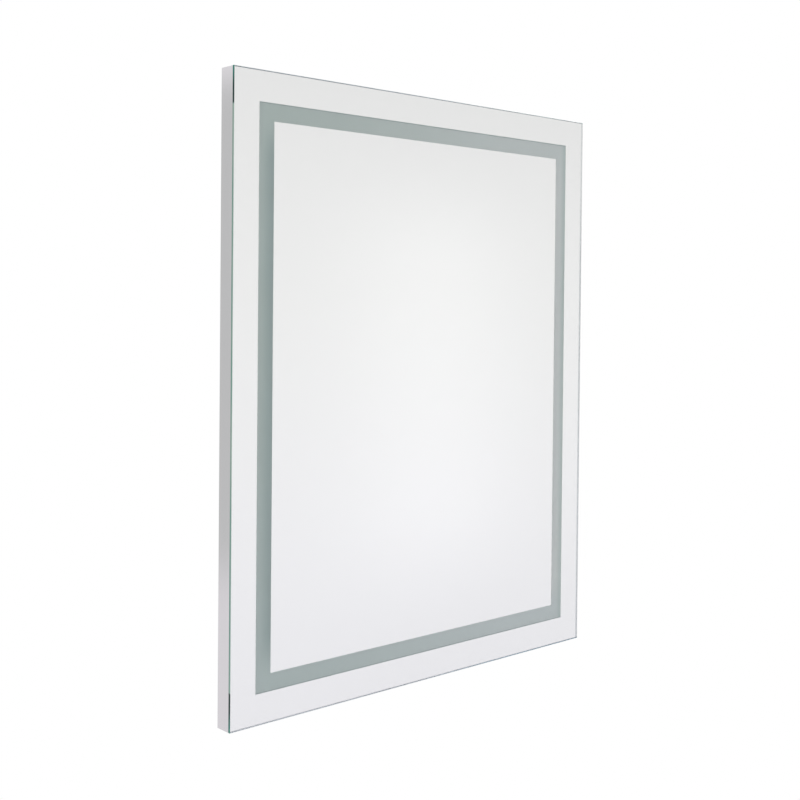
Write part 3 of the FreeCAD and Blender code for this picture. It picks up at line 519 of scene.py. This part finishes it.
def ease(bm, edges, width, segments=2):
    """Rounds edges off."""
    bmesh.ops.bevel(
        bm,
        geom=edges,
        offset=width,
        affect="EDGES",
        segments=segments,
        profile=0.5,
        material=-1,
        clamp_overlap=True,
    )


def merged(node):
    """A copy of a CAD node's mesh, its loose triangles joined at their corners."""
    bm = bmesh.new()
    bm.from_mesh(frame["nodes"][node].data)
    bmesh.ops.remove_doubles(bm, verts=bm.verts, dist=1e-6)
    return bm


def eased(node, width, segments=2, least=20, most=180):
    """Stands for a CAD node with the same solid, its edges rounded as pressing and extruding leave them."""
    bm = merged(node)
    flat = math.radians(0.5)
    bmesh.ops.dissolve_limit(bm, angle_limit=flat, verts=bm.verts, edges=bm.edges)
    ease(bm, creases(bm, least, most), width, segments)
    piece = stand_in(node + "_eased", bm, node, soft_angle=50)
    weighted = piece.modifiers.new("flat_faces_kept_flat", "WEIGHTED_NORMAL")
    weighted.weight = 100
    weighted.keep_sharp = True
    return piece


def spun(profile):
    """A closed outline of (radius, height) points, turned about Z."""
    bm = bmesh.new()
    verts = [bm.verts.new((radius, 0, height)) for radius, height in profile]
    edges = [bm.edges.new(pair) for pair in zip(verts, verts[1:] + verts[:1])]
    geom = verts + edges
    bmesh.ops.spin(bm, geom=geom, cent=(0, 0, 0), axis=(0, 0, 1), angle=math.tau, steps=32, use_merge=True)
    bmesh.ops.remove_doubles(bm, verts=bm.verts, dist=1e-7)
    return bm


def stacked(levels, segments=24):
    """A closed turned solid. Each level is a radius, which may depend on the angle round Z, and a height."""
    bm = bmesh.new()
    made = bmesh.ops.create_circle(bm, cap_ends=True, radius=1, segments=segments)
    face = made["verts"][0].link_faces[0]
    for count, (radius, height) in enumerate(levels):
        if count:
            region = bmesh.ops.extrude_face_region(bm, geom=[face])["geom"]
            if count > 1:
                bmesh.ops.delete(bm, geom=[face], context="FACES_ONLY")
            face = next(part for part in region if isinstance(part, bmesh.types.BMFace))
        for corner in face.verts:
            angle = math.atan2(corner.co.y, corner.co.x)
            reach = radius(angle) if callable(radius) else radius
            corner.co = (reach * math.cos(angle), reach * math.sin(angle), height)
    return bm


def cross(arm):
    """The outline of a cross recess whose arms reach this far, on a ring with a corner every 15 degrees."""
    half = arm * math.tan(math.radians(15))

    def reach(angle):
        off = abs((angle + math.tau / 8) % (math.tau / 4) - math.tau / 8)
        return arm / math.cos(off) if off < math.radians(15.1) else half / math.sin(off)

    return reach


def set_out(bm, places):
    """Copies of a solid that was made about Z, turned to face back and set at places."""
    shape = bpy.data.meshes.new("shape")
    bm.to_mesh(shape)
    bm.free()
    whole = bmesh.new()
    for place, turn in places:
        start = len(whole.verts)
        whole.from_mesh(shape)
        whole.verts.ensure_lookup_table()
        face_back = Matrix.Rotation(math.radians(-90), 4, "X") @ Matrix.Rotation(math.radians(turn), 4, "Z")
        moved = whole.verts[start:]
        bmesh.ops.transform(whole, matrix=Matrix.Translation(place) @ face_back, verts=moved)
    bpy.data.meshes.remove(shape)
    return whole


# ---------------------------------------------------------------- the pieces
def frosted_band():
    low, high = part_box("silvering_centre")
    rim = Vector((BAND, 0, BAND))
    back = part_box("mirror_glass")[1].y
    bm = rectangle_ring(low - rim, high + rim, BAND, back - ETCH - SUNK, back - SUNK)
    return solid_piece("frosted_band", bm, frosted_glass(low, high), "mirror_glass")


def pane():
    """Stands for the pane with the same solid, its rim drawn in so that the ground edge lies round it."""
    low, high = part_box("mirror_glass")
    bm = merged("mirror_glass")
    for axis in (0, 2):
        for end, step in ((low, DRAWN_IN), (high, -DRAWN_IN)):
            rim = [v for v in bm.verts if abs(v.co[axis] - end[axis]) < 2 * ARRIS]
            move = Vector()
            move[axis] = step
            bmesh.ops.translate(bm, verts=rim, vec=move)
    return stand_in("clear_pane", bm, "mirror_glass")


def glass_edge():
    low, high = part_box("mirror_glass")
    film = Vector((SUNK, SUNK, SUNK))
    bm = rectangle_ring(low + film, high - film, EDGE_FILM, low.y + SUNK, high.y - SUNK)
    ease(bm, [e for e in creases(bm) if on_rim(e, low, high)], ARRIS, 1)
    return solid_piece("ground_glass_edge", bm, ground_edge(low, high), "mirror_glass")


def on_rim(edge, low, high):
    """True if an edge runs along the outside of a ring that fills low to high."""
    middle = (edge.verts[0].co + edge.verts[1].co) / 2
    gap = min(middle.x - low.x, high.x - middle.x, middle.z - low.z, high.z - middle.z)
    level = abs(edge.verts[0].co.y - edge.verts[1].co.y) < SUNK
    return level and gap < 2 * SUNK


def pan_screw(head_r, head, shank_r, length):
    """A pan-head screw along Z, its head seated at 0, with a cross recess and the lines of its thread."""
    levels = [(shank_r * 0.55, -length), (shank_r, shank_r - length)]
    pitch = shank_r * 0.45
    turns = int((length - shank_r) / pitch)
    for turn in range(turns):
        foot = shank_r - length + turn * pitch
        levels += [(shank_r * 0.84, foot + pitch / 2), (shank_r, foot + pitch)]
    levels += [(shank_r, 0), (head_r, 0), (head_r, head * 0.42), (head_r * 0.95, head * 0.66)]
    levels += [(head_r * 0.82, head * 0.85), (head_r * 0.64, head * 0.95), (head_r * 0.58, head)]
    levels += [(cross(head_r * 0.5), head), (cross(head_r * 0.44), head * 0.75)]
    levels += [(cross(head_r * 0.3), head * 0.25)]
    return stacked(levels)


def panel_screws():
    """Screws in the rails, three up each side and one above and below, each turned as it was driven."""
    low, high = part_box("mirror_glass")
    _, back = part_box("panel_screws")
    _, head, _ = PANEL_SCREW
    seat = back.y - head
    middle = (low + high) / 2
    heights = (low.z + SCREW_CORNER, middle.z, high.z - SCREW_CORNER)
    spots = [(x, z) for x in (low.x + SCREW_INSET, high.x - SCREW_INSET) for z in heights]
    spots += [(middle.x, low.z + SCREW_INSET), (middle.x, high.z - SCREW_INSET)]
    bm = pan_screw(*PANEL_SCREW, PANEL_SCREW_LENGTH)
    places = [((x, seat, z), 11 + 37 * count) for count, (x, z) in enumerate(spots)]
    return stand_in("pan_head_panel_screws", set_out(bm, places), "panel_screws")


def cover_screws():
    low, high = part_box("cover_screws")
    head_r, head, _ = COVER_SCREW
    bm = pan_screw(*COVER_SCREW, high.y - low.y - head)
    seat = high.y - head
    level = (low.z + high.z) / 2
    places = [((low.x + head_r, seat, level), 24), ((high.x - head_r, seat, level), 70)]
    return stand_in("pan_head_cover_screws", set_out(bm, places), "cover_screws")


def rivets():
    """Blind rivets: a low dome with the broken stem in its middle, and a bulged tail inside the panel."""
    low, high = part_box("hanging_rivets")
    head_r, head, shank_r = RIVET
    tail = low.y - high.y + head
    levels = [(shank_r * 0.6, tail), (shank_r, tail + 0.4 * MM), (shank_r, 0)]
    levels += [(head_r, 0), (head_r, head * 0.2), (head_r * 0.9, head * 0.55)]
    levels += [(head_r * 0.7, head * 0.85), (head_r * 0.45, head)]
    levels += [(head_r * 0.33, head), (head_r * 0.29, head * 0.45), (head_r * 0.24, head * 0.45)]
    levels += [(head_r * 0.2, head * 0.7), (head_r * 0.08, head * 0.75)]
    level = (low.z + high.z) / 2
    spread = high.x - head_r
    places = [((x, high.y - head, level), 0) for x in (-spread, 0, spread)]
    return stand_in("domed_rivets", set_out(stacked(levels), places), "hanging_rivets")


def bumpers():
    """Rubber feet with a rounded rim and a shallow dimple, stuck to the panel."""
    low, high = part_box("bumpers")
    radius = (high.z - low.z) / 2
    tall = high.y - low.y
    wall = [(0.97, 0), (1, 0.08), (0.9, 0.8), (0.86, 0.93), (0.76, 1)]
    dimple = [(0.46, 1), (0.38, 0.93), (0.12, 0.88)]
    levels = [(radius * out, tall * up) for out, up in wall + dimple]
    level = (low.z + high.z) / 2
    places = [((x, low.y, level), 0) for x in (low.x + radius, high.x - radius)]
    return stand_in("dimpled_bumpers", set_out(stacked(levels, 40), places), "bumpers")


def grommet():
    """A soft grommet with rounded flanges either side of the cover and a bell-mouthed bore."""
    low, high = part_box("cable_grommet")
    cover_low, cover_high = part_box("terminal_cover")
    centre = (low + high) / 2
    outer = (high.x - low.x) / 2
    neck = outer - GROMMET_GROOVE
    bore, soft = GROMMET_BORE, GROMMET_ROUND
    near, far, tall = cover_low.y - low.y, cover_high.y - low.y, high.y - low.y
    inner_flange = [(bore, soft), (bore + soft, 0), (outer - soft, 0), (outer, soft)]
    inner_flange += [(outer, near - 0.1 * MM)]
    groove = [(neck, near), (neck, far)]
    outer_flange = [(outer, far + 0.1 * MM), (outer - soft, tall - soft), (outer - 3 * soft, tall)]
    mouth = [(bore + 2 * soft, tall), (bore + 0.4 * soft, tall - soft), (bore, tall - 3 * soft)]
    profile = inner_flange + groove + outer_flange + mouth
    bm = set_out(spun(profile), [((centre.x, low.y, centre.z), 0)])
    return stand_in("bell_mouthed_grommet", bm, "cable_grommet")


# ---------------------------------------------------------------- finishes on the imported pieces
def dress():
    """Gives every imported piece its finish, by the start of its name."""
    upright = satin_aluminium("satin_aluminium_upright", (1, 1, 0.01))
    level = satin_aluminium("satin_aluminium_level", (0.01, 1, 1))
    zinc = zinc_plate()
    white = moulded("white_plastic", (0.82, 0.82, 0.80))
    bar = mill_aluminium()
    black = rubber()
    lead = moulded("lead_jacket", (0.78, 0.78, 0.77), 0.5)
    panel = powder_coat("panel_paint", (0.58, 0.59, 0.60))
    tape = foam("foam_tape", (0.10, 0.10, 0.11))
    finishes = {
        "mirror_glass": clear_glass(),
        "silvering": silver(),
        "casing_left": upright,
        "casing_right": upright,
        "casing_top": level,
        "casing_bottom": level,
        "corner_key": cast_alloy(),
        "wall_bar": bar,
        "hanging_bar": bar,
        "hanging_rivets": zinc,
        "back_panel": panel,
        "terminal_cover": panel,
        "terminal_box": zinc,
        "terminal_block": moulded("terminal_grey", (0.45, 0.47, 0.49)),
        "panel_screws": zinc,
        "cover_screws": zinc,
        "earth_stud": zinc,
        "earth_nut": zinc,
        "earth_lead": tinned_braid(),
        "reflector": powder_coat("reflector_paint", (0.90, 0.90, 0.89)),
        "led_strip": strip_board(),
        "led_driver": white,
        "driver_end_caps": white,
        "driver_tape": tape,
        "bonding_tape": tape,
        "strip_links": lead,
        "supply_lead": lead,
        "output_lead": lead,
        "cable_clips": white,
        "cable_grommet": black,
        "lead_bushes": black,
        "bumpers": black,
        "foam_spacers": foam("spacer_foam", (0.72, 0.74, 0.76)),
    }
    for name, node in frame["nodes"].items():
        chosen = next(value for key, value in finishes.items() if name.startswith(key))
        node.data.materials.clear()
        node.data.materials.append(chosen)


def finish(node):
    """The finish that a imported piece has."""
    return frame["nodes"][node].data.materials[0]


# ---------------------------------------------------------------- making them
dress()
pane()
frosted_band()
glass_edge()
for side in ("left", "right", "top", "bottom"):
    eased("casing_" + side, 0.35 * MM)
eased("wall_bar", 0.3 * MM)
eased("hanging_bar", 0.3 * MM)
eased("terminal_cover", 0.2 * MM)
eased("back_panel", 1.2 * MM, segments=3, least=20, most=40)  # only the bends of its swages
eased("led_driver", 0.3 * MM)
eased("driver_end_caps", 0.4 * MM)
eased("terminal_block", 0.3 * MM)
panel_screws()
cover_screws()
rivets()
bumpers()
grommet()


# ---------------------------------------------------------------- floor, light and camera
def floor():
    """A round pale floor, as far below the mirror as such a mirror hangs."""
    bm = bmesh.new()
    bmesh.ops.create_circle(bm, cap_ends=True, radius=FLOOR_RADIUS, segments=96)
    mesh = bpy.data.meshes.new("floor")
    bm.to_mesh(mesh)
    bm.free()
    disc = bpy.data.objects.new("floor", mesh)
    mesh.materials.append(floor_finish())
    disc.location.z = cad_box[0][2] - FLOOR_DROP
    bpy.context.scene.collection.objects.link(disc)


def surroundings():
    """White to the camera; to the surfaces, a belt with a glow in front and a darker level band behind."""
    world = bpy.data.worlds.new("surroundings")
    bpy.context.scene.world = world
    w = Tree(world)
    x, y, z = w.parts(w.node("TexCoord", {}, {}, "Generated"))

    def bell(value, middle, width):
        share = (value - middle) / width
        return share.maths("EXPONENT", share * share * -1.0)

    ahead = y.maths("MAXIMUM", y * -1.0, 0.05)
    across, rise = x / ahead, z / ahead
    front = FRONT_FLOOR + bell(rise, BELT_RISE, BELT_HEIGHT) * BELT
    glow = bell(across, GLOW_ACROSS, GLOW_WIDTH) * rise.ramp(*GLOW_TOP) * rise.ramp(*GLOW_FOOT)
    front = front + glow * GLOW
    level = z.ramp(*BEHIND_TOP) * z.ramp(*BEHIND_FOOT)
    outside_band = BEHIND_BELOW + z.ramp(-0.1, 0.1) * (BEHIND_ABOVE - BEHIND_BELOW)
    behind = outside_band + level * (BEHIND_BAND - outside_band)
    share = y.ramp(-0.05, 0.05)
    strength = front + share * (behind - front)
    before_tint = w.blend(z.ramp(0.05, -0.33), (1.0, 1.0, 1.0, 1), (1.0, 0.995, 1.034, 1))
    behind_tint = w.blend(level, (1.0, 0.968, 0.998, 1), (1.0, 1.0, 1.0, 1))
    tint = w.blend(share, before_tint, behind_tint)
    seen = w.node("LightPath", {}, {}, "Is Camera Ray")
    colour = w.blend(seen, tint, (1, 1, 1, 1))
    strength = strength + seen * (BACKDROP - strength)
    sky = w.node("Background", {}, {"Color": colour, "Strength": strength})
    w.node("OutputWorld", {}, {"Surface": sky})


def softbox(name, place, aim, size, watts):
    """A square lamp at a place, turned to its aim."""
    light = bpy.data.lights.new(name, "AREA")
    light.shape = "SQUARE"
    light.size = size
    light.energy = watts
    lamp = bpy.data.objects.new(name, light)
    lamp.location = place
    lamp.rotation_euler = (Vector(aim) - Vector(place)).to_track_quat("-Z", "Y").to_euler()
    bpy.context.scene.collection.objects.link(lamp)


def camera():
    """The camera that was fitted to the photograph's straight edges."""
    data = bpy.data.cameras.new("camera")
    data.lens = LENS
    data.sensor_width = SENSOR
    data.shift_y = SHIFT_Y
    made = bpy.data.objects.new("camera", data)
    made.location = CAMERA_PLACE
    made.rotation_euler = [math.radians(a) for a in (90 + CAMERA_TIP, CAMERA_ROLL, CAMERA_BEARING)]
    bpy.context.scene.collection.objects.link(made)
    bpy.context.scene.camera = made


floor()
surroundings()
softbox("back_softbox", place=(1.9, 0.8, 1.1), aim=(0, 0, -0.33), size=0.8, watts=20)
camera()
bpy.context.scene.view_settings.view_transform = "Standard"
